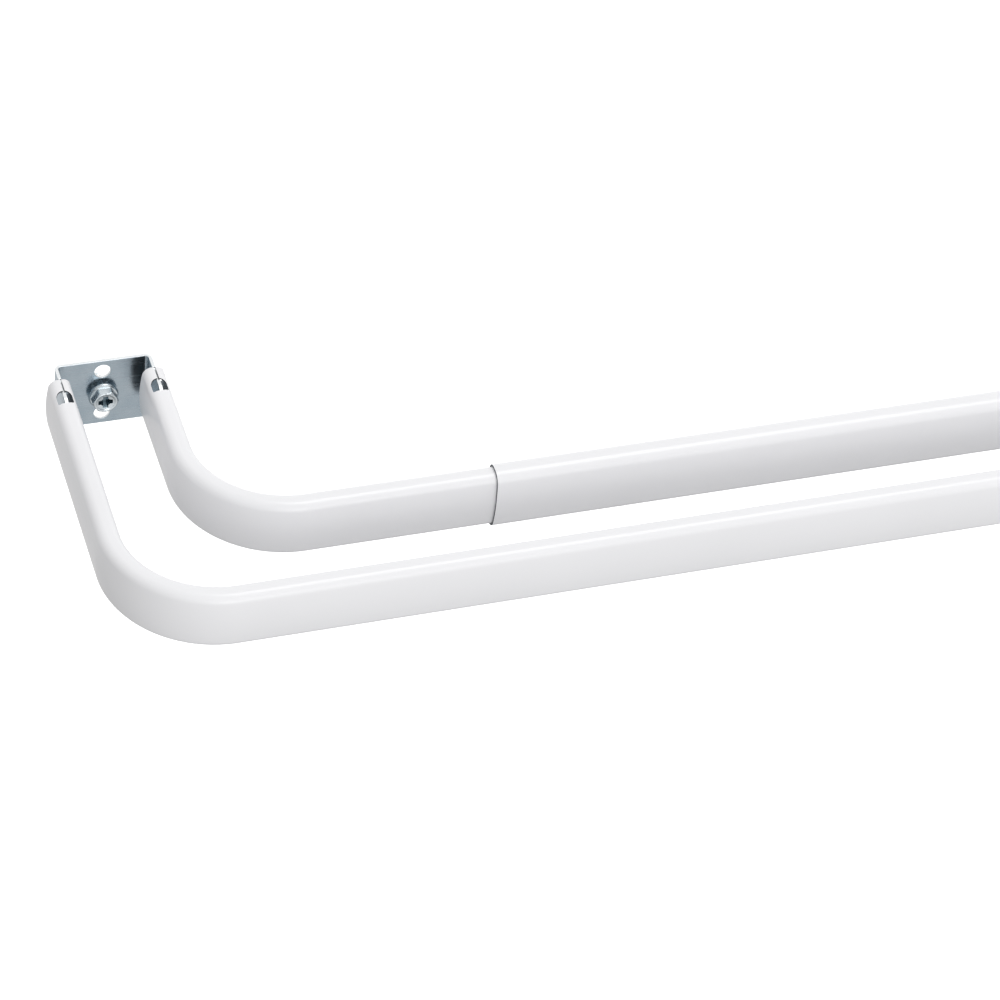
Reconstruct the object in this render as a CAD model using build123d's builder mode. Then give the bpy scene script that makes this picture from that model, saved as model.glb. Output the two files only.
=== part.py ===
"""Double curtain rod: two telescoping enamelled steel rods, one behind the other, on shared brackets."""

import os
from math import atan2, cos, degrees, pi, radians, sqrt, tan

from build123d import *

os.makedirs("parts", exist_ok=True)

# Frame, in millimetres: the origin is the centre of the left bracket's wall face,
# +X runs along the rods, +Y points into the wall and +Z points up.

# Layout of the set
bracket_span = 785.0        # between the centres of the two wall brackets
leg_spacing = 25.4          # between the two legs that share a bracket
back_projection = 63.5      # wall to the centre of the back rod's run
front_projection = 92.1     # wall to the centre of the front rod's run
bend_radius = 27.4          # centre of the section, round the return bend
rod_end_gap = 6.0           # wall to the cut end of each leg

# Telescoping
back_mouth = 90.0           # left bracket's centre to the mouth of the back rod's outer half
front_mouth = 242.0         # left bracket's centre to the mouth of the front rod's outer half
closing_travel = 45.0       # how far the right end can be pushed in from here
tip_margin = 6.0            # left between an inner half's tip and the bend when pushed right in
slide_clearance = 0.25      # all round, between the two halves of a rod

# Rolled section of the inner halves, measured outside
tube_height = 17.6
tube_depth = 6.5
tube_wall = 0.4
crown_radius = 38.0         # gentle curve of the front face
front_corner = 0.4 * tube_depth
back_corner = 0.34 * tube_depth
inside_flats = 2            # that stand for each round corner on the inside of the strip
seam_width = 3.6            # folded lock seam inside the back wall
seam_fold = tube_wall       # the seam adds one thickness of strip
seam_line_width = 0.35      # line where the strip's two edges meet
seam_line_depth = 0.2
channel_depth = 1.0         # groove along the back that lets the outer half's seam pass
channel_room = 0.8          # beside that seam, at the bottom of the groove

# Slit and keyhole in the top of each leg
slit_width = 0.5            # lets the strip spring over the bracket's catch
slit_length = 4.6
keyhole_width = 4.2
keyhole_length = 4.8
keyhole_cut = 2.0           # depth below the top of the leg

# Wall brackets, folded from one sheet
sheet = 1.0
fold_radius = 1.0           # inside the fold
plate_height = 22.0
top_edge_drop = 0.2         # bracket's top edge below the top of an inner half
tongue_length = 26.0        # wall to the tip of a tongue
tongue_gap = 0.35           # tongue to the seam inside an inner half
seat_clearance = 0.3        # tongue inside an inner half, above, below and at the shoulder
catch_clearance = 0.4       # keyhole's round side to the steep side of the tongue's catch
catch_rise = 0.5            # catch above the tongue's top edge
catch_crest = 2.2           # level top of the catch
catch_ramp = 1.8            # slope from the crest towards the tongue's tip
nose_radius = 3.0           # lead-in at the tongue's tip
screw_hole_edge = 3.6       # outer holes of the column to the plate's edges
screw_hole_clearance = 0.25 # round the screw's shank

# Bracket screw, hex washer head with a cross recess
shank_radius = 1.95
shank_length = 9.5          # under the head
point_length = 4.0
screw_lift = 1.2            # washer off the plate: the screw isn't driven right home
hex_across_flats = 6.35
hex_height = 2.4
hex_bevel = 0.5             # taken off the hexagon's corners at the top
washer_rim = 0.45           # washer beyond the hexagon's corners
washer_thickness = 0.9
recess_span = 3.9
recess_width = 1.0
recess_depth = 1.6
recess_taper = 8.0          # degrees

# Worked out from the above
rod_level = plate_height / 2 + top_edge_drop - tube_height / 2
inner_grow = 0.0
outer_grow = slide_clearance + tube_wall
channel_mouth = seam_width + 2 * (channel_room + channel_depth)
tongue_shift = tube_depth / 2 - channel_depth - tube_wall - seam_fold - tongue_gap - sheet / 2
keyhole_shift = tongue_shift / 2
keyhole_flat = rod_end_gap + slit_length + keyhole_length
front_leg = leg_spacing / 2 + tongue_shift
back_leg = leg_spacing / 2 - tongue_shift
screw_hole_radius = shank_radius + screw_hole_clearance
screw_hole_spacing = plate_height / 2 - screw_hole_edge


def section_corner(centre, radius, start, turn, rounded):
    """Corner of a section, turning anticlockwise from start: an arc, or a few flats just outside that arc."""
    if rounded:
        CenterArc(centre, radius, start, turn)
    else:
        step = turn / (2 * inside_flats + 2)
        bend = radius / cos(radians(step))
        bends = [(bend, start + (2 * place + 1) * step) for place in range(inside_flats + 1)]
        polar = [(radius, start), *bends, (radius, start + turn)]
        Polyline(*[Vector(*centre) + Vector(reach, 0).rotate(Axis.Z, angle) for reach, angle in polar])


def section_outline(grow, channelled, rounded=True):
    """Outline of a rod's section, grown outward by grow: local x to the front, local y up."""
    half_height = tube_height / 2 + grow
    half_depth = tube_depth / 2 + grow
    crown = crown_radius + grow
    front = front_corner + grow
    back = back_corner + grow

    crown_centre = half_depth - crown
    corner_rise = half_height - front
    corner_place = crown_centre + sqrt((crown - front) ** 2 - corner_rise**2)
    crown_end = degrees(atan2(corner_rise, corner_place - crown_centre))

    mouth = channel_mouth / 2 - grow * tan(pi / 8)
    floor = mouth - channel_depth
    with BuildLine() as outline:
        section_corner((corner_place, corner_rise), front, crown_end, 90 - crown_end, rounded)
        Line((corner_place, half_height), (back - half_depth, half_height))
        section_corner((back - half_depth, half_height - back), back, 90, 90, rounded)
        if channelled:
            Polyline(
                (-half_depth, half_height - back),
                (-half_depth, mouth),
                (channel_depth - half_depth, floor),
                (channel_depth - half_depth, 0),
            )
        else:
            Line((-half_depth, half_height - back), (-half_depth, 0))
        mirror(about=Plane.XZ)
        CenterArc((crown_centre, 0), crown, -crown_end, 2 * crown_end)
    return outline.edges()


def rod_half(label, side, bracket_x, leg, run_end, projection, grow):
    """One half of a rod: a straight run, a return bend and a leg whose end hooks on a bracket.

    side is -1 for the left half and 1 for the right half, leg is the distance of the leg's
    centre from its bracket's centre, and run_end is the free end of the run.
    """
    channelled = grow == inner_grow
    leg_x = bracket_x + leg
    back_face = -tube_depth / 2 - grow + (channel_depth if channelled else 0)
    top = rod_level + tube_height / 2 + grow
    outside = section_outline(grow, channelled)
    inside = section_outline(grow - tube_wall, channelled, rounded=False)

    with BuildPart() as half:
        with BuildLine() as path:
            FilletPolyline(
                (run_end, -projection, rod_level),
                (leg_x, -projection, rod_level),
                (leg_x, -rod_end_gap, rod_level),
                radius=bend_radius,
            )
        start = Plane(origin=path.line @ 0, x_dir=(0, -1, 0), z_dir=path.line % 0)
        with BuildSketch(start):
            make_face(outside)
            make_face(inside, mode=Mode.SUBTRACT)
            with Locations((back_face + tube_wall + seam_fold / 2, 0)):
                Rectangle(seam_fold, seam_width)
            with Locations((back_face + seam_line_depth / 2, 0)):
                Rectangle(seam_line_depth, seam_line_width, mode=Mode.SUBTRACT)
        sweep()

        # Slit above the tongue, and the keyhole for its catch: round towards the wall, flat towards the room
        slit_x = leg_x - side * tongue_shift
        keyhole_x = leg_x - side * keyhole_shift
        round_y = -(rod_end_gap + slit_length + keyhole_width / 2)
        with BuildSketch(Plane.XY.offset(top - keyhole_cut)):
            with Locations((slit_x, round_y / 2)):
                Rectangle(slit_width, -round_y)
            with Locations((keyhole_x, round_y)):
                Circle(keyhole_width / 2)
            with Locations((keyhole_x, (round_y - keyhole_flat) / 2)):
                Rectangle(keyhole_width, round_y + keyhole_flat)
        extrude(amount=2 * keyhole_cut, mode=Mode.SUBTRACT)

    half.part.label = label
    export_step(half.part, f"parts/{label}.step")


def wall_bracket(label, bracket_x):
    """Sheet folded to a U, with its two flanges cut to tongues that the rod ends slide over."""
    bracket_top = plate_height / 2
    tongue_top = rod_level + tube_height / 2 - tube_wall - seat_clearance
    tongue_foot = rod_level - tube_height / 2 + tube_wall + seat_clearance
    shoulder = rod_end_gap - seat_clearance
    catch = rod_end_gap + slit_length + catch_clearance
    crest_end = catch + catch_crest
    outside = leg_spacing + sheet
    inside = leg_spacing - sheet

    with BuildPart() as bracket:
        # Plan of the folded sheet
        with BuildSketch(Plane.XY.offset(-plate_height / 2)) as plan:
            with Locations((bracket_x, -tongue_length / 2)):
                Rectangle(outside, tongue_length)
            fillet(plan.vertices().group_by(Axis.Y)[-1], fold_radius + sheet)
        extrude(amount=plate_height)
        with BuildSketch(Plane.XY.offset(-plate_height / 2)) as hollow:
            with Locations((bracket_x, -(tongue_length + sheet) / 2)):
                Rectangle(inside, tongue_length - sheet)
            fillet(hollow.vertices().group_by(Axis.Y)[-1], fold_radius)
        extrude(amount=plate_height, mode=Mode.SUBTRACT)

        # Side view that the flanges are cut to: a shoulder above and below, then a tongue with a catch on top
        with BuildSketch(Plane.YZ.offset(bracket_x)) as side_view:
            with BuildLine():
                Polyline(
                    (0, -plate_height / 2),
                    (0, bracket_top),
                    (-shoulder, bracket_top),
                    (-shoulder, tongue_top),
                    (-catch, tongue_top),
                    (-catch, tongue_top + catch_rise),
                    (-crest_end, tongue_top + catch_rise),
                    (-crest_end - catch_ramp, tongue_top),
                    (-tongue_length, tongue_top),
                    (-tongue_length, tongue_foot),
                    (-shoulder, tongue_foot),
                    (-shoulder, -plate_height / 2),
                    close=True,
                )
            make_face()
            fillet(side_view.vertices().group_by(Axis.X)[0], nose_radius)
        extrude(amount=outside, both=True, mode=Mode.INTERSECT)

        # Column of screw holes
        with BuildSketch(Plane.XZ):
            with Locations((bracket_x, 0)):
                with GridLocations(0, screw_hole_spacing, 1, 3):
                    Circle(screw_hole_radius)
        extrude(amount=2 * sheet, both=True, mode=Mode.SUBTRACT)

    bracket.part.label = label
    export_step(bracket.part, f"parts/{label}.step")


def bracket_screw(label, bracket_x):
    """Screw through the middle hole, its washer just off the plate and its point in the wall."""
    washer_face = -sheet - screw_lift
    washer_top = washer_face - washer_thickness
    head_top = washer_top - hex_height
    point = washer_face + shank_length
    hex_corner = hex_across_flats / sqrt(3)
    washer_radius = hex_corner + washer_rim
    axis = Axis((bracket_x, 0, 0), (0, 1, 0))

    with BuildPart() as screw:
        # Hexagon, its top corners turned off
        with BuildSketch(Plane.XZ.offset(-washer_top)):
            with Locations((bracket_x, 0)):
                RegularPolygon(hex_corner, 6)
        extrude(amount=hex_height)
        with BuildSketch():
            with BuildLine():
                Polyline(
                    (bracket_x, washer_top),
                    (bracket_x + hex_corner, washer_top),
                    (bracket_x + hex_corner, head_top + hex_bevel),
                    (bracket_x + hex_corner - hex_bevel, head_top),
                    (bracket_x, head_top),
                    close=True,
                )
            make_face()
        revolve(axis=axis, mode=Mode.INTERSECT)

        # Washer with a sloped rim, and the shank with its point
        with BuildSketch():
            with BuildLine():
                Polyline(
                    (bracket_x, washer_top),
                    (bracket_x + hex_corner, washer_top),
                    (bracket_x + washer_radius, washer_face - washer_thickness / 2),
                    (bracket_x + washer_radius, washer_face),
                    (bracket_x + shank_radius, washer_face),
                    (bracket_x + shank_radius, point - point_length),
                    (bracket_x, point),
                    close=True,
                )
            make_face()
        revolve(axis=axis)

        # Cross recess
        with BuildSketch(Plane.XZ.offset(-head_top)):
            with Locations((bracket_x, 0)):
                Rectangle(recess_span, recess_width)
                Rectangle(recess_width, recess_span)
        extrude(amount=-recess_depth, taper=recess_taper, mode=Mode.SUBTRACT)

    screw.part.label = label
    export_step(screw.part, f"parts/{label}.step")


# The inner halves are on the left, and reach almost to the right bends when pushed right in
tip_setback = bend_radius + closing_travel + tip_margin
front_tip = bracket_span + front_leg - tip_setback
back_tip = bracket_span - back_leg - tip_setback

rod_half("front_rod_inner_half", -1, 0, -front_leg, front_tip, front_projection, inner_grow)
rod_half("back_rod_inner_half", -1, 0, back_leg, back_tip, back_projection, inner_grow)
rod_half("front_rod_outer_half", 1, bracket_span, front_leg, front_mouth, front_projection, outer_grow)
rod_half("back_rod_outer_half", 1, bracket_span, -back_leg, back_mouth, back_projection, outer_grow)

for name, place in (("left", 0.0), ("right", bracket_span)):
    wall_bracket(f"{name}_wall_bracket", place)
    bracket_screw(f"{name}_bracket_screw", place)
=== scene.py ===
"""Looks of a double curtain rod: two enamelled telescoping rods hooked on zinc-plated wall brackets."""

from math import acos, atan2, cos, degrees, pi, radians, sin, sqrt, tan

import bmesh
import bpy
from mathutils import Matrix, Vector


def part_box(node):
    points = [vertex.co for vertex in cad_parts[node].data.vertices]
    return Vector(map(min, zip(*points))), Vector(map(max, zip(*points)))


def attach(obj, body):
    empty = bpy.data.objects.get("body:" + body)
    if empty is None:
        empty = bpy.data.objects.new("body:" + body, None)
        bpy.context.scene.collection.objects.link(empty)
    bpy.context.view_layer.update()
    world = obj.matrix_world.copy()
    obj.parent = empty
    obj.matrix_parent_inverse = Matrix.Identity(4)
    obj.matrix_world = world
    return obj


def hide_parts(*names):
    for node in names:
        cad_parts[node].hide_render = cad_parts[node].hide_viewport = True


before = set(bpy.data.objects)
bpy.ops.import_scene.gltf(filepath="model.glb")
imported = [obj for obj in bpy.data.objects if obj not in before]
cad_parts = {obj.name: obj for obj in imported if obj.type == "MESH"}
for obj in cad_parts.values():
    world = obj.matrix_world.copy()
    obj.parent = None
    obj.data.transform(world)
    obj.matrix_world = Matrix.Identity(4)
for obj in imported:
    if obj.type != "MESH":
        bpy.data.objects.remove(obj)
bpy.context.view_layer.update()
scene = bpy.context.scene

# Sizes are in millimetres, and become metres where a mesh is made
mm = 0.001

# Rolled section of the rods
strip = 0.4                 # thickness of the enamelled steel strip
inner_depth = 6.5           # smaller section, front to back
outer_depth = 7.8           # larger section, which slides over the smaller
crown_radius = 38.0         # gentle curve of the front face
front_corner = 2.6
back_corner = 2.21
seam_half = 1.8             # half the width of the lock seam folded inside the back wall
seam_line_half = 0.175      # half the width of the line where the strip's edges meet
seam_line_depth = 0.2
seam_line_round = 0.12      # rounding of that line's two edges
channel_mouth = 3.6         # half the groove in the back of the smaller section, at its mouth
channel_depth = 1.0
channel_bend = 0.7          # rolled bends of the groove
bend_radius = 27.4          # return bend, at the centre of the section
lip_radius = 0.17           # rounding of the strip's cut ends
bare_bands = 4              # bands of faces along that rounding that the enamel doesn't reach

# Slit and keyhole in the top of each leg
tongue_shift = 0.6          # bracket's tongue from the centre of the leg, towards the bend's inside
slit_half = 0.25
slit_length = 4.6
keyhole_radius = 2.1
keyhole_length = 4.8
keyhole_cut = 2.0           # depth below the top of the leg
keyhole_corner = 0.5
keyhole_edge = 0.09         # enamel rounded over the cut
punch_past = 1.0            # punch beyond the leg's end and above its top
cut_margin = 0.01           # added round the punch when its cut edges are looked for
cut_turn = 50               # degrees: a cut edge turns by more than this

# Folded bracket
sheet = 1.0
fold_radius = 1.0           # inside the fold
seat_clearance = 0.3        # tongue inside a rod, above, below and at its shoulder
catch_clearance = 0.4       # keyhole's round side to the steep side of the tongue's catch
catch_rise = 0.5            # catch above the tongue's top edge
catch_crest = 2.2           # level top of the catch
catch_ramp = 1.8            # slope from the crest towards the tongue's tip
nose_radius = 3.0
notch_radius = 0.2
hole_radius = 2.2
hole_spacing = 7.4
punched_edge = 0.12         # rounding of the punched edges
weld_gap = 0.0012           # points of the flat blank nearer than this become one
edge_lean = 0.5             # faces of the flat blank whose normals rise by less than this are its edges

# Screw with a hexagon washer head
hexagon_flats = 6.35
hexagon_height = 2.4
hexagon_bevel = 0.5
hexagon_edge = 0.1          # rounding of the hexagon's corners
washer_rim = 0.45
washer_thickness = 0.9
recess_half = 1.95          # half the span of the cross recess
recess_arm = 0.7            # half the width of its arms
recess_core = 1.35          # round middle of the recess, where the driver's point goes
recess_depth = 1.6
recess_taper = 8.0          # degrees
recess_waist = 0.8          # span half way down the recess, as a share of its mouth's
recess_foot = 0.5           # span at its bottom, as a share of its mouth's
recess_point = 0.07         # radius of the small face in the middle of its bottom
recess_bands = 3            # bands of faces inside the recess
dish_depth = 0.3            # forged hollow of the head's face
dish_floor = 2.15           # radius of the hollow's flat bottom
dish_rim = 2.9              # radius where the hollow begins
shank_radius = 1.95
thread_root = 1.42
thread_pitch = 1.4
thread_ridge = 0.3          # half the width of the thread's foot, as a share of the pitch
thread_crest = 1.15         # ridge drawn this much too high and cut off, which leaves a flat crest
thread_start = 0.4          # bare neck under the head
point_length = 4.0
point_tip = 0.02            # share of the shank's width left at the point's tip
nearly_zero = 1e-6          # keeps a division off zero

# How finely round stretches are divided
crown_steps = 14
corner_steps = 14
bend_steps = 56
small_steps = 5
fold_steps = 12
hole_steps = 48
screw_steps = 96
thread_steps = 12

# Edges that turn by more than these degrees stay sharp in the shading
rod_crease = 40
zinc_crease = 35
punch_crease = 30


def corners(node):
    """Lowest and highest corner of a part of the frame, in millimetres."""
    return [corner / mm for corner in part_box(node)]


def arc(centre, radius, start, end, steps):
    """Points along an arc from one angle to another, in degrees, both ends included."""
    turns = [radians(start + (end - start) * step / steps) for step in range(steps + 1)]
    return [(centre[0] + radius * cos(turn), centre[1] + radius * sin(turn)) for turn in turns]


def rounded(outline, closed=True):
    """Points of an outline given as (x, y, radius) corners, with each corner rounded by its radius."""
    points = []
    for place, (x, y, radius) in enumerate(outline):
        corner = Vector((x, y))
        at_end = not closed and place in (0, len(outline) - 1)
        if at_end or radius == 0:
            points.append((x, y))
            continue
        before = (Vector(outline[place - 1][:2]) - corner).normalized()
        after = (Vector(outline[(place + 1) % len(outline)][:2]) - corner).normalized()
        half_angle = before.angle(after) / 2
        centre = corner + (before + after).normalized() * radius / sin(half_angle)
        first = corner + before * radius / tan(half_angle) - centre
        last = corner + after * radius / tan(half_angle) - centre
        spread = [first.slerp(last, step / small_steps) for step in range(small_steps + 1)]
        points += [tuple(centre + radius * direction) for direction in spread]
    return points


def make_piece(name, points, faces, finishes, body, node):
    """Closed mesh from points in millimetres, riding on a body in place of a part of the frame."""
    mesh = bpy.data.meshes.new(name)
    mesh.from_pydata([Vector(point) * mm for point in points], [], faces)
    for finish in finishes:
        mesh.materials.append(finish)
    piece = bpy.data.objects.new(name, mesh)
    scene.collection.objects.link(piece)
    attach(piece, body)
    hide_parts(node)
    return piece


def finish_mesh(piece, crease):
    """Face the mesh outward and shade it smooth, but for edges sharper than crease degrees."""
    shape = bmesh.new()
    shape.from_mesh(piece.data)
    bmesh.ops.recalc_face_normals(shape, faces=shape.faces)
    shape.to_mesh(piece.data)
    shape.free()
    piece.data.shade_smooth()
    piece.data.set_sharp_from_angle(angle=radians(crease))


def ring_faces(rings, count):
    """Quads that join rings of count points each, one after the other and the last to the first."""
    faces = []
    for ring in range(rings):
        here, there = ring * count, (ring + 1) % rings * count
        for point in range(count):
            following = (point + 1) % count
            faces.append((here + point, here + following, there + following, there + point))
    return faces


# Materials

def linear(colour):
    """sRGB hex colour as the linear colour that a shader takes."""
    shares = [int(colour[place:place + 2], 16) / 255 for place in (1, 3, 5)]
    straight = [share / 12.92 if share <= 0.04045 else ((share + 0.055) / 1.055) ** 2.4 for share in shares]
    return (*straight, 1.0)


def add_node(tree, kind, inputs, **settings):
    """Add a shader node with its settings, and give its inputs values or other nodes' outputs."""
    node = tree.nodes.new("ShaderNode" + kind)
    for name, value in settings.items():
        setattr(node, name, value)
    for name, value in inputs.items():
        if isinstance(value, bpy.types.NodeSocket):
            tree.links.new(value, node.inputs[name])
        else:
            node.inputs[name].default_value = value
    return node


def new_material(name):
    """Empty material, with its node tree, output and object coordinates."""
    material = bpy.data.materials.new(name)
    material.use_nodes = True
    tree = material.node_tree
    tree.nodes.clear()
    output = add_node(tree, "OutputMaterial", {})
    place = add_node(tree, "TexCoord", {}).outputs["Object"]
    return material, tree, output, place


# A noise texture's values lie mostly in this range, which is stretched to a range of roughness
noise_range = {"From Min": 0.3, "From Max": 0.7}

# Sockets of a Mix node that mixes two colours
mix_factor = 0
mix_first = 6
mix_second = 7
mix_result = 2


def baked_enamel():
    """White alkyd enamel, sprayed on steel strip and baked: glossy, with a faint orange peel."""
    material, tree, output, place = new_material("white_baked_enamel")
    peel_size = 2.2         # millimetres between the ripples of the spray, drawn at their real size
    peel_height = 0.02
    cloud_size = 30.0       # slow change of the coat's thickness
    grit_size = 0.35        # fine dust in the coat
    grit_height = 0.004
    peel = add_node(tree, "TexNoise", {"Vector": place, "Scale": 1 / (peel_size * mm), "Detail": 1.0})
    cloud = add_node(tree, "TexNoise", {"Vector": place, "Scale": 1 / (cloud_size * mm), "Detail": 2.0})
    grit = add_node(tree, "TexNoise", {"Vector": place, "Scale": 1 / (grit_size * mm), "Detail": 2.0})
    tone = add_node(tree, "Mix", {
        mix_factor: cloud.outputs["Fac"], mix_first: linear("#F1F1F3"), mix_second: linear("#F6F6F8"),
    }, data_type="RGBA")
    gloss = add_node(tree, "MapRange", {
        "Value": cloud.outputs["Fac"], **noise_range, "To Min": 0.16, "To Max": 0.22,
    })
    ripple = add_node(tree, "Bump", {
        "Height": peel.outputs["Fac"], "Strength": 0.25, "Distance": peel_height * mm,
    })
    specks = add_node(tree, "Bump", {
        "Height": grit.outputs["Fac"], "Strength": 0.2, "Distance": grit_height * mm,
        "Normal": ripple.outputs["Normal"],
    })
    shader = add_node(tree, "BsdfPrincipled", {
        "Base Color": tone.outputs[mix_result], "Roughness": gloss.outputs["Result"], "IOR": 1.52,
        "Normal": specks.outputs["Normal"],
    })
    tree.links.new(shader.outputs["BSDF"], output.inputs["Surface"])
    return material


def strip_inside():
    """Thin off-white backing coat on the strip's inner side: dull, and a little uneven."""
    material, tree, output, place = new_material("thin_backing_coat")
    streak_size = 0.6
    streaks = add_node(tree, "TexNoise", {"Vector": place, "Scale": 1 / (streak_size * mm), "Detail": 3.0})
    tone = add_node(tree, "Mix", {
        mix_factor: streaks.outputs["Fac"], mix_first: linear("#C2C5C7"), mix_second: linear("#D6D8DA"),
    }, data_type="RGBA")
    shader = add_node(tree, "BsdfPrincipled", {"Base Color": tone.outputs[mix_result], "Roughness": 0.55})
    tree.links.new(shader.outputs["BSDF"], output.inputs["Surface"])
    return material


def sheared_steel():
    """Bare steel where the enamelled strip was cut through: dark grey, with fine drag marks."""
    material, tree, output, place = new_material("sheared_steel")
    drag_size = 0.3
    drag = add_node(tree, "TexNoise", {"Vector": place, "Scale": 1 / (drag_size * mm), "Detail": 2.0})
    tone = add_node(tree, "Mix", {
        mix_factor: drag.outputs["Fac"], mix_first: linear("#4E5257"), mix_second: linear("#6E7378"),
    }, data_type="RGBA")
    shader = add_node(tree, "BsdfPrincipled", {
        "Base Color": tone.outputs[mix_result], "Metallic": 1.0, "Roughness": 0.5,
    })
    tree.links.new(shader.outputs["BSDF"], output.inputs["Surface"])
    return material


def zinc_plate(name, grain, dull, bright):
    """Blue-passivated zinc plate: a cool bright metal, clouded where the bath left it uneven.

    grain is the size of the finest marks along X, Y and Z in millimetres: the sheet has rolling
    lines along its length, and a screw has none. dull and bright are the colours of the clouds.
    Lighter colours make a painted highlight along edges, and darker ones a painted shade in hollows.
    """
    material, tree, output, place = new_material(name)
    cloud_size = 5.0
    mark_height = 0.004
    scale = [1 / (size * mm) for size in grain]
    drawn_out = add_node(tree, "Mapping", {"Vector": place, "Scale": scale})
    lines = add_node(tree, "TexNoise", {"Vector": drawn_out.outputs["Vector"], "Scale": 1.0, "Detail": 3.0})
    cloud = add_node(tree, "TexNoise", {"Vector": place, "Scale": 1 / (cloud_size * mm), "Detail": 3.0})
    tone = add_node(tree, "Mix", {
        mix_factor: cloud.outputs["Fac"], mix_first: linear(dull), mix_second: linear(bright),
    }, data_type="RGBA")
    gloss = add_node(tree, "MapRange", {
        "Value": lines.outputs["Fac"], **noise_range, "To Min": 0.2, "To Max": 0.3,
    })
    marks = add_node(tree, "Bump", {
        "Height": lines.outputs["Fac"], "Strength": 0.3, "Distance": mark_height * mm,
    })
    shader = add_node(tree, "BsdfPrincipled", {
        "Base Color": tone.outputs[mix_result], "Metallic": 1.0, "Roughness": gloss.outputs["Result"],
        "Normal": marks.outputs["Normal"],
    })
    tree.links.new(shader.outputs["BSDF"], output.inputs["Surface"])
    return material


rolling_lines = (14.0, 14.0, 0.5)
even_grain = (0.6, 0.6, 0.6)

enamel = baked_enamel()
backing = strip_inside()
sheared = sheared_steel()
sheet_zinc = zinc_plate("rolled_zinc_plate", rolling_lines, "#A9B9C4", "#C9D3DA")
# Whiter zinc for the bracket's cut edges: a painted highlight
painted_highlight_zinc = zinc_plate("zinc_plate_painted_edge_highlight", even_grain, "#EDF1F3", "#F6F8F9")
screw_zinc = zinc_plate("tumbled_zinc_plate", even_grain, "#CDD8DE", "#EAEFF1")
# Dark zinc for inside the screw's recess: painted shade
painted_shade_zinc = zinc_plate("zinc_plate_painted_recess_shade", even_grain, "#5E6F78", "#82939B")


# Rods

rod_low, rod_high = corners("front_rod_inner_half")
section_height = rod_high.z - rod_low.z


def rod_section(grow, channelled, seam):
    """Outline of a rod's section, grown outward by grow: x to the front, y up.

    seam holds (depth, height) points of the upper half, from the back wall to the seam's middle.
    """
    height = section_height / 2 + grow
    depth = inner_depth / 2 + grow
    crown = crown_radius + grow
    front = front_corner + grow
    back = back_corner + grow
    crown_centre = depth - crown
    corner_rise = height - front
    corner_place = crown_centre + sqrt((crown - front) ** 2 - corner_rise**2)
    crown_end = degrees(atan2(corner_rise, corner_place - crown_centre))
    upper = arc((crown_centre, 0), crown, 0, crown_end, crown_steps)
    upper += arc((corner_place, corner_rise), front, crown_end, 90, corner_steps)[1:]
    upper += arc((back - depth, height - back), back, 90, 180, corner_steps)
    back_wall = -depth
    if channelled:
        # The groove's sides slope at 45 degrees, so its mouth moves by the tangent of half of that
        mouth = channel_mouth - grow * tan(pi / 8)
        back_wall = channel_depth - depth
        groove = [
            (-depth, height - back, 0),
            (-depth, mouth, channel_bend + grow),
            (back_wall, mouth - channel_depth, channel_bend - grow),
            (back_wall, 0, 0),
        ]
        upper += rounded(groove, closed=False)[1:-1]
    upper += [(back_wall + inward, rise) for inward, rise in seam]
    return upper + [(x, -y) for x, y in reversed(upper[1:])]


def cut_keyhole(piece, leg_x, side, top, rod_end):
    """Cut the slit and the keyhole through the top of a leg, and round the cut edges."""
    slit_x = leg_x - side * tongue_shift
    key_x = leg_x - side * tongue_shift / 2
    key_left = key_x - keyhole_radius
    key_right = key_x + keyhole_radius
    round_y = rod_end - slit_length - keyhole_radius
    flat_y = rod_end - slit_length - keyhole_length
    past_end = rod_end + punch_past
    past_top = top + punch_past
    right_turn = degrees(acos((slit_x + slit_half - key_x) / keyhole_radius))
    left_turn = degrees(acos((slit_x - slit_half - key_x) / keyhole_radius))
    right_side = arc((key_x, round_y), keyhole_radius, right_turn, 0, corner_steps)
    left_side = arc((key_x, round_y), keyhole_radius, 180, left_turn, corner_steps)
    foot = [
        (key_right, round_y, 0),
        (key_right, flat_y, keyhole_corner),
        (key_left, flat_y, keyhole_corner),
        (key_left, round_y, 0),
    ]
    outline = [(slit_x + slit_half, past_end), *right_side, *rounded(foot, closed=False)[1:-1]]
    outline += [*left_side, (slit_x - slit_half, past_end)]
    count = len(outline)
    points = [Vector((x, y, z)) * mm for z in (top - keyhole_cut, past_top) for x, y in outline]
    following = [(place + 1) % count for place in range(count)]
    sides = [(place, after, after + count, place + count) for place, after in enumerate(following)]
    mesh = bpy.data.meshes.new("keyhole_punch")
    mesh.from_pydata(points, [], [*sides, range(count), range(count, 2 * count)])
    mesh.materials.append(sheared)
    punch = bpy.data.objects.new("keyhole_punch", mesh)
    scene.collection.objects.link(punch)
    finish_mesh(punch, punch_crease)

    cut = piece.modifiers.new("keyhole", "BOOLEAN")
    cut.object = punch
    cut.solver = "EXACT"
    whole = piece.data
    cut_piece = piece.evaluated_get(bpy.context.evaluated_depsgraph_get())
    piece.data = bpy.data.meshes.new_from_object(cut_piece)
    piece.modifiers.clear()
    bpy.data.meshes.remove(whole)
    bpy.data.objects.remove(punch)

    # Enamel rounded over the cut: edges that lie within the punch's box and turn sharply
    shape = bmesh.new()
    shape.from_mesh(piece.data)
    low = Vector((key_left, flat_y, top - keyhole_cut)) * mm
    high = Vector((key_right, rod_end - 2 * lip_radius, past_top)) * mm
    margin = cut_margin * mm

    def in_cut(point):
        """Whether a point of the mesh lies within the punch's box."""
        return all(low[axis] - margin < point.co[axis] < high[axis] + margin for axis in range(3))

    cut_edges = [
        edge for edge in shape.edges
        if len(edge.link_faces) == 2 and edge.calc_face_angle() > radians(cut_turn)
        and all(in_cut(end) for end in edge.verts)
    ]
    bmesh.ops.bevel(shape, geom=cut_edges, offset=keyhole_edge * mm, segments=2, profile=0.5,
                    affect="EDGES", clamp_overlap=True)
    shape.to_mesh(piece.data)
    shape.free()


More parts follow.
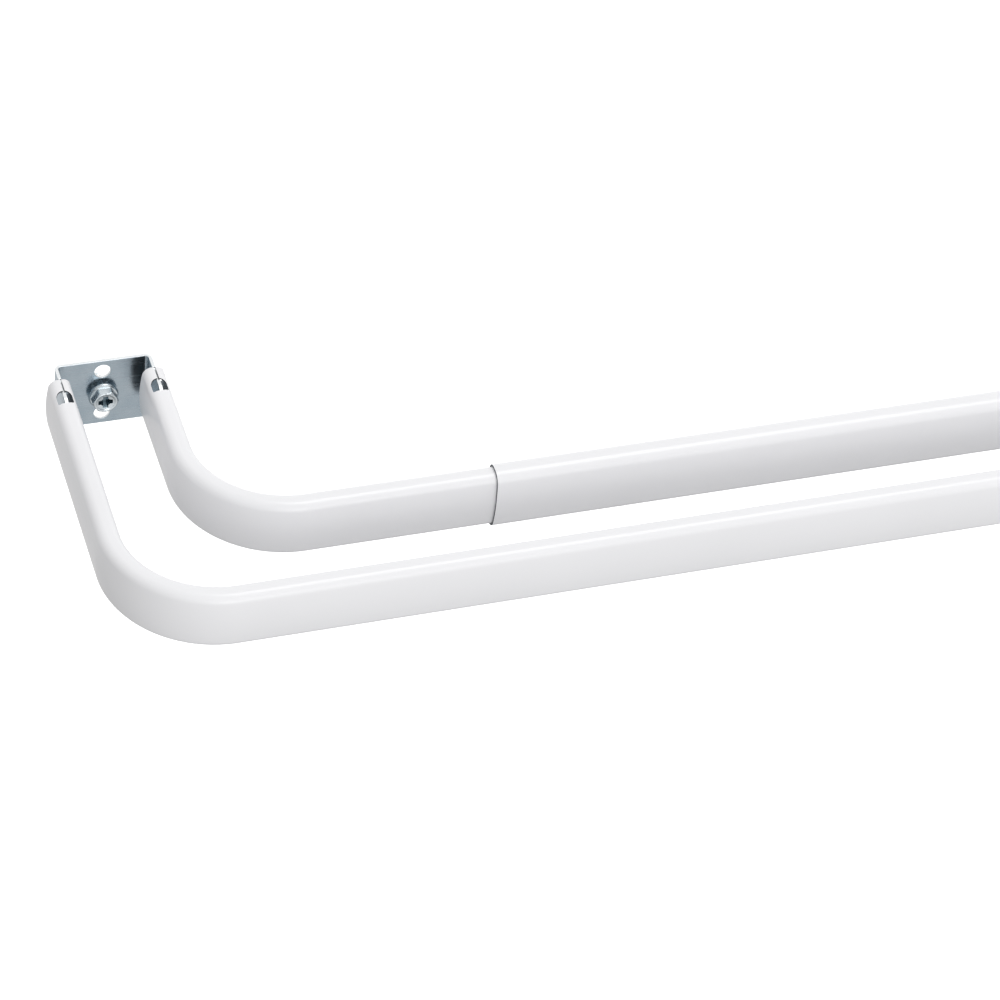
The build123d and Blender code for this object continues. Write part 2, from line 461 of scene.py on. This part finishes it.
def rod_half(node, body, side, depth):
    """One half of a rod, rolled from thin strip: a run, a return bend, and a leg with its keyhole.

    side is -1 for a left half and 1 for a right half, and depth is its section's, front to back.
    """
    low, high = corners(node)
    grow = (depth - inner_depth) / 2
    channelled = depth == inner_depth
    outer_edge, run_end = (low.x, high.x) if side < 0 else (high.x, low.x)
    leg_x = outer_edge - side * depth / 2
    level = (low.z + high.z) / 2
    bend_centre = Vector((leg_x - side * bend_radius, low.y + depth / 2 + bend_radius))
    run = abs(bend_centre.x - run_end)
    bend = bend_radius * pi / 2
    leg = high.y - bend_centre.y
    length = run + bend + leg

    def station(distance):
        """Centre of the section and its front direction, at a distance from the run's free end."""
        turn = min(max(distance - run, 0) / bend_radius, pi / 2)
        front = Vector((side * sin(turn), -cos(turn)))
        beyond = Vector((-side * max(run - distance, 0), max(distance - run - bend, 0)))
        return bend_centre + bend_radius * front + beyond, front

    # Distances from the run's free end, each with how far the strip's surface is rounded in there
    quarter = [radians(90 * step / small_steps) for step in range(small_steps + 1)]
    lip = [(lip_radius * (1 - sin(turn)), lip_radius * (1 - cos(turn))) for turn in reversed(quarter)]
    stations = [*lip]
    stations += [(run + bend * step / bend_steps, 0) for step in range(bend_steps + 1)]
    stations += [(length - gap, inset) for gap, inset in reversed(lip)]

    # Sections along the strip's outside, and back along its inside
    line = [
        (0, seam_line_half + seam_line_round),
        (seam_line_round / 4, seam_line_half + seam_line_round / 4),
        (seam_line_depth, seam_line_half),
    ]
    fold = [(0, seam_half), (strip, seam_half - seam_line_round), (strip, seam_line_half)]
    rings = [(distance, rod_section(grow - inset, channelled, line)) for distance, inset in stations]
    for distance, inset in reversed(stations):
        rings.append((distance, rod_section(grow - strip + inset, channelled, fold)))
    points = []
    for distance, section in rings:
        centre, front = station(distance)
        points += [(centre.x + front.x * x, centre.y + front.y * x, level + y) for x, y in section]
    count = len(rings[0][1])
    faces = ring_faces(len(rings), count)

    finishes = [enamel, backing, sheared]
    piece = make_piece(node + "_rolled", points, faces, finishes, body, node)
    last = len(stations) - 2            # last band of faces along the strip's outside
    for face in piece.data.polygons:
        band = face.index // count
        along = band if band <= last else 2 * last + 2 - band
        at_cut = min(along, last - along) < bare_bands
        coat = enamel if band <= last else backing
        face.material_index = finishes.index(sheared if at_cut else coat)
    finish_mesh(piece, rod_crease)
    cut_keyhole(piece, leg_x, side, high.z, high.y)
    finish_mesh(piece, rod_crease)
    piece.modifiers.new("flat_faces", "WEIGHTED_NORMAL").keep_sharp = True


rod_half("front_rod_inner_half", "left_end", -1, inner_depth)
rod_half("back_rod_inner_half", "left_end", -1, inner_depth)
rod_half("front_rod_outer_half", "right_end", 1, outer_depth)
rod_half("back_rod_outer_half", "back_right_half", 1, outer_depth)


# Wall brackets

def wall_bracket(node, body):
    """Bracket punched flat from zinc-plated sheet and folded to a U, with tongues for the rod ends."""
    low, high = corners(node)
    centre_x = (low.x + high.x) / 2
    flat = (high.x - low.x) / 2 - sheet - fold_radius
    neutral = fold_radius + sheet / 2
    fold = neutral * pi / 2

    def unrolled(from_wall):
        """Distance from the middle of the flat blank to a point of the flange."""
        return flat + fold + from_wall - sheet - fold_radius

    shoulder = unrolled(-rod_high.y - seat_clearance)
    catch = unrolled(-rod_high.y + slit_length + catch_clearance)
    crest_end = catch + catch_crest
    tip = unrolled(-low.y)
    tongue_top = rod_high.z - strip - seat_clearance
    tongue_foot = rod_low.z + strip + seat_clearance
    crest = tongue_top + catch_rise
    half = [
        (shoulder, low.z, notch_radius),
        (shoulder, tongue_foot, notch_radius),
        (tip, tongue_foot, nose_radius),
        (tip, tongue_top, nose_radius),
        (crest_end + catch_ramp, tongue_top, notch_radius),
        (crest_end, crest, notch_radius),
        (catch, crest, notch_radius),
        (catch, tongue_top, notch_radius),
        (shoulder, tongue_top, notch_radius),
        (shoulder, high.z, notch_radius),
    ]
    outlines = [rounded(half + [(-x, z, radius) for x, z, radius in reversed(half)])]
    for rise in (-hole_spacing, 0, hole_spacing):
        outlines.append(arc((0, rise), hole_radius, 0, 360, hole_steps)[:-1])

    # Flat blank with rounded edges
    blank = bpy.data.curves.new(node + "_blank", "CURVE")
    blank.dimensions = "2D"
    blank.fill_mode = "BOTH"
    blank.extrude = (sheet / 2 - punched_edge) * mm
    blank.bevel_depth = punched_edge * mm
    blank.bevel_resolution = 2
    blank.offset = -punched_edge * mm
    for outline in outlines:
        spline = blank.splines.new("POLY")
        spline.points.add(len(outline) - 1)
        spline.use_cyclic_u = True
        for point, (x, y) in zip(spline.points, outline):
            point.co = (x * mm, y * mm, 0, 1)
    carrier = bpy.data.objects.new(node + "_blank", blank)
    mesh = bpy.data.meshes.new_from_object(carrier)
    bpy.data.objects.remove(carrier)

    # Lines across the blank where it folds, with one more on each side to keep the flats flat
    shape = bmesh.new()
    shape.from_mesh(mesh)
    bpy.data.meshes.remove(mesh)
    bmesh.ops.remove_doubles(shape, verts=shape.verts, dist=weld_gap * mm)
    fold_lines = [flat + fold * step / fold_steps for step in range(fold_steps + 1)]
    for line in [flat - punched_edge, *fold_lines, flat + fold + punched_edge]:
        for place in (-line, line):
            parts = [*shape.verts, *shape.edges, *shape.faces]
            bmesh.ops.bisect_plane(shape, geom=parts, plane_co=(place * mm, 0, 0), plane_no=(1, 0, 0))
    shape.normal_update()
    edge_faces = [abs(face.normal.z) < edge_lean for face in shape.faces]

    # Folding: each point keeps its height and its place in the sheet's thickness
    for point in shape.verts:
        along, height, outward = point.co / mm
        side = 1 if along > 0 else -1
        past = abs(along) - flat
        turn = min(max(past, 0) / neutral, pi / 2)
        reach = min(abs(along), flat) + (neutral + outward) * sin(turn)
        depth = -sheet - fold_radius + (neutral + outward) * cos(turn) - max(past - fold, 0)
        point.co = Vector((centre_x + side * reach, depth, height)) * mm
    points = [point.co / mm for point in shape.verts]
    faces = [[point.index for point in face.verts] for face in shape.faces]
    shape.free()

    finishes = [sheet_zinc, painted_highlight_zinc]
    piece = make_piece(node + "_folded", points, faces, finishes, body, node)
    # The blank's edge faces take the whiter zinc, a painted highlight along every edge
    for face in piece.data.polygons:
        face.material_index = finishes.index(painted_highlight_zinc if edge_faces[face.index] else sheet_zinc)
    finish_mesh(piece, zinc_crease)
    piece.modifiers.new("flat_faces", "WEIGHTED_NORMAL").keep_sharp = True


for bracket_side, bracket_body in (("left", "left_end"), ("right", "right_end")):
    wall_bracket(f"{bracket_side}_wall_bracket", bracket_body)


# Screws

def hexagon(turn):
    """Distance from the screw's axis to the hexagon's side, with its corners a little rounded."""
    side = hexagon_flats / 2 / cos(turn % (pi / 3) - pi / 6)
    return min(side, hexagon_flats / sqrt(3) - hexagon_edge)


def cross(turn, half, arm, core):
    """Distance from the screw's axis to the edge of a cross.

    half is half its span, arm is half the width of its arms, and core is its middle's radius.
    """
    across = max(abs(cos(turn)), nearly_zero)
    along = max(abs(sin(turn)), nearly_zero)
    flat_arm = min(half / across, arm / along)
    upright_arm = min(arm / across, half / along)
    return max(flat_arm, upright_arm, core)


def thread(turn, depth):
    """Distance from the screw's axis to the threaded shank at a depth."""
    phase = (depth / thread_pitch - turn / (2 * pi)) % 1
    ridge = max(0, 1 - abs(phase - 0.5) / thread_ridge)
    return thread_root + (shank_radius - thread_root) * min(thread_crest * ridge, 1)


def bracket_screw(node, body):
    """Hexagon washer head screw with a cross recess, its thread running out to a point."""
    low, high = corners(node)
    centre_x = (low.x + high.x) / 2
    head = low.y
    mouth = head + dish_depth           # of the recess, at the bottom of the dish
    washer = head + hexagon_height
    washer_face = washer + washer_thickness
    washer_middle = washer_face - washer_thickness / 2
    corner = hexagon_flats / sqrt(3)
    rim = corner + washer_rim
    narrowing = recess_depth * tan(radians(recess_taper))
    edge = hexagon_edge

    def recess(turn, share, narrowed):
        """Distance from the axis to the recess's wall, where its span is a share of its mouth's."""
        return cross(turn, recess_half * share, recess_arm - narrowed, recess_core * share)

    # Rings from the bottom of the recess, over the head and washer, to the neck
    rings = [
        (mouth + recess_depth, lambda turn: recess_point),
        (mouth + recess_depth, lambda turn: recess(turn, recess_foot, narrowing)),
        (mouth + recess_depth / 2, lambda turn: recess(turn, recess_waist, narrowing / 2)),
        (mouth + edge, lambda turn: recess(turn, 1, 0)),
        (mouth + edge / 4, lambda turn: recess(turn, 1, 0) + edge / 3),
        (mouth, lambda turn: recess(turn, 1, 0) + edge),
    ]
    for step in range(small_steps + 1):
        share = step / small_steps
        rise = dish_depth * (1 - cos(pi * share)) / 2
        rings.append((mouth - rise, lambda turn, share=share: dish_floor + (dish_rim - dish_floor) * share))
    rings.append((head, lambda turn: corner - hexagon_bevel - edge))
    for step in range(small_steps + 1):
        drop = hexagon_bevel * step / small_steps
        cone = corner - hexagon_bevel + drop
        rings.append((head + edge / 3 + drop, lambda turn, cone=cone: min(hexagon(turn), cone)))
    rings += [
        (washer - 2 * edge, hexagon),
        (washer - edge / 2, lambda turn: hexagon(turn) + edge / 2),
        (washer, lambda turn: min(hexagon(turn) + 2 * edge, corner)),
        (washer, lambda turn: corner + edge / 2),
        (washer_middle - edge, lambda turn: rim - edge),
        (washer_middle + edge, lambda turn: rim),
        (washer_face - edge, lambda turn: rim),
        (washer_face, lambda turn: rim - edge),
        (washer_face, lambda turn: shank_radius),
        (washer_face + thread_start, lambda turn: shank_radius),
    ]
    threaded = high.y - washer_face - thread_start
    count = int(threaded / thread_pitch * thread_steps)
    for step in range(1, count + 1):
        depth = washer_face + thread_start + threaded * step / count
        narrow = min(1, (high.y - depth) / point_length + point_tip)
        rings.append((depth, lambda turn, depth=depth, narrow=narrow: narrow * thread(turn, depth)))

    turns = [2 * pi * step / screw_steps for step in range(screw_steps)]
    points = []
    for depth, radius in rings:
        points += [(centre_x + radius(turn) * cos(turn), depth, radius(turn) * sin(turn)) for turn in turns]
    joined = ring_faces(len(rings), screw_steps)[:-screw_steps]
    ends = [range(screw_steps), range(len(points) - screw_steps, len(points))]
    finishes = [screw_zinc, painted_shade_zinc]
    piece = make_piece(node + "_turned", points, [*joined, *ends], finishes, body, node)
    # Faces inside the recess and its bottom take the dark zinc, painted shade in the hollow
    for face in piece.data.polygons:
        in_recess = face.index < recess_bands * screw_steps or face.index == len(joined)
        face.material_index = finishes.index(painted_shade_zinc if in_recess else screw_zinc)
    finish_mesh(piece, zinc_crease)


for screw_side, screw_body in (("left", "left_end"), ("right", "right_end")):
    bracket_screw(f"{screw_side}_bracket_screw", screw_body)


# Studio: a pale floor far below, soft light, and the photograph's camera

floor_drop = 450.0
floor_half = 6000.0

floor_material, floor_tree, floor_output, _ = new_material("pale_floor_paper")
floor_shader = add_node(floor_tree, "BsdfPrincipled", {"Base Color": linear("#E4E4E4"), "Roughness": 0.9})
floor_tree.links.new(floor_shader.outputs["BSDF"], floor_output.inputs["Surface"])
floor_mesh = bpy.data.meshes.new("floor")
floor_points = [
    (x * floor_half * mm, y * floor_half * mm, -floor_drop * mm)
    for x, y in ((-1, -1), (1, -1), (1, 1), (-1, 1))
]
floor_mesh.from_pydata(floor_points, [], [range(len(floor_points))])
floor_mesh.materials.append(floor_material)
floor = bpy.data.objects.new("floor", floor_mesh)
scene.collection.objects.link(floor)
floor.visible_diffuse = False       # the room lights the object, and the floor only lies behind it
floor.visible_glossy = False
floor.visible_shadow = False


def soft_light(name, place, aim, size, spread, power):
    """Square soft box at a place, in millimetres, turned to an aim, its light kept to spread degrees."""
    light = bpy.data.lights.new(name, "AREA")
    light.shape = "SQUARE"
    light.size = size * mm
    light.energy = power
    light.spread = radians(spread)
    lamp = bpy.data.objects.new(name, light)
    lamp.location = Vector(place) * mm
    lamp.rotation_euler = (Vector(aim) - Vector(place)).to_track_quat("-Z", "Y").to_euler()
    lamp.visible_camera = False
    scene.collection.objects.link(lamp)


# The overhead box gives the streak along the rods' upper corners, and the front box lifts their faces
left_end_middle = (120, -60, 0)
soft_light("overhead", place=(537, 60, 1437), aim=left_end_middle, size=800, spread=180, power=5.5)
soft_light("front", place=(150, -1500, 400), aim=left_end_middle, size=1200, spread=40, power=0.53)

# An even wash that falls on the floor alone and keeps it white
wash = bpy.data.lights.new("floor_wash", "SUN")
wash.energy = 3.5
wash.angle = radians(90)
wash_lamp = bpy.data.objects.new("floor_wash", wash)
scene.collection.objects.link(wash_lamp)
wash_lamp.light_linking.receiver_collection = bpy.data.collections.new("floor_alone")
wash_lamp.light_linking.receiver_collection.objects.link(floor)

world = bpy.data.worlds.new("studio")
scene.world = world
world.use_nodes = True
background = world.node_tree.nodes["Background"]
background.inputs["Color"].default_value = linear("#FFFFFF")

# Room: brightness of its sides, which blend into each other
room_right_back_top = (0.58, 1.18, 0.7)
room_left_front_below = (0.32, 1.04, 0.23)
room = world.node_tree
direction = add_node(room, "TexCoord", {}).outputs["Generated"]
shares = []
for half, brightness in (("MAXIMUM", room_right_back_top), ("MINIMUM", room_left_front_below)):
    reach = add_node(room, "VectorMath", {0: direction, 1: (0, 0, 0)}, operation=half).outputs["Vector"]
    square = add_node(room, "VectorMath", {0: reach, 1: reach}, operation="MULTIPLY").outputs["Vector"]
    share = add_node(room, "VectorMath", {0: square, 1: brightness}, operation="DOT_PRODUCT")
    shares.append(share.outputs["Value"])
total = add_node(room, "Math", {0: shares[0], 1: shares[1]}, operation="ADD")
room.links.new(total.outputs["Value"], background.inputs["Strength"])
scene.view_settings.view_transform = "Standard"

# Camera: a long lens that looks down on the left end, from its left
image_pixels = 1000
sensor_width = 36.0
focal_pixels = 3516.45
camera_yaw = radians(22.462)        # to the right of straight at the wall
camera_pitch = radians(43.251)      # down
camera_roll = radians(7.395)
leg_pixel = (52.816, 389.456)       # where the front rod's left leg, drawn on, would meet the wall
leg_distance = 937.616              # along the line of sight

leg_at_wall = Vector((rod_low.x + inner_depth / 2, 0, (rod_low.z + rod_high.z) / 2))
level_right = Vector((cos(camera_yaw), -sin(camera_yaw), 0))
level_forward = Vector((sin(camera_yaw), cos(camera_yaw), 0))
forward = cos(camera_pitch) * level_forward - sin(camera_pitch) * Vector((0, 0, 1))
level_up = level_right.cross(forward)
right = cos(camera_roll) * level_right + sin(camera_roll) * level_up
up = cos(camera_roll) * level_up - sin(camera_roll) * level_right
aside = (leg_pixel[0] - image_pixels / 2) / focal_pixels * leg_distance
above = (image_pixels / 2 - leg_pixel[1]) / focal_pixels * leg_distance
eye = (leg_at_wall - right * aside - up * above - forward * leg_distance) * mm

lens = bpy.data.cameras.new("camera")
lens.sensor_width = sensor_width
lens.lens = sensor_width * focal_pixels / image_pixels
camera = bpy.data.objects.new("camera", lens)
camera.matrix_world = Matrix.Translation(eye) @ Matrix((right, up, -forward)).transposed().to_4x4()
scene.collection.objects.link(camera)
scene.camera = camera

bpy.context.view_layer.update()
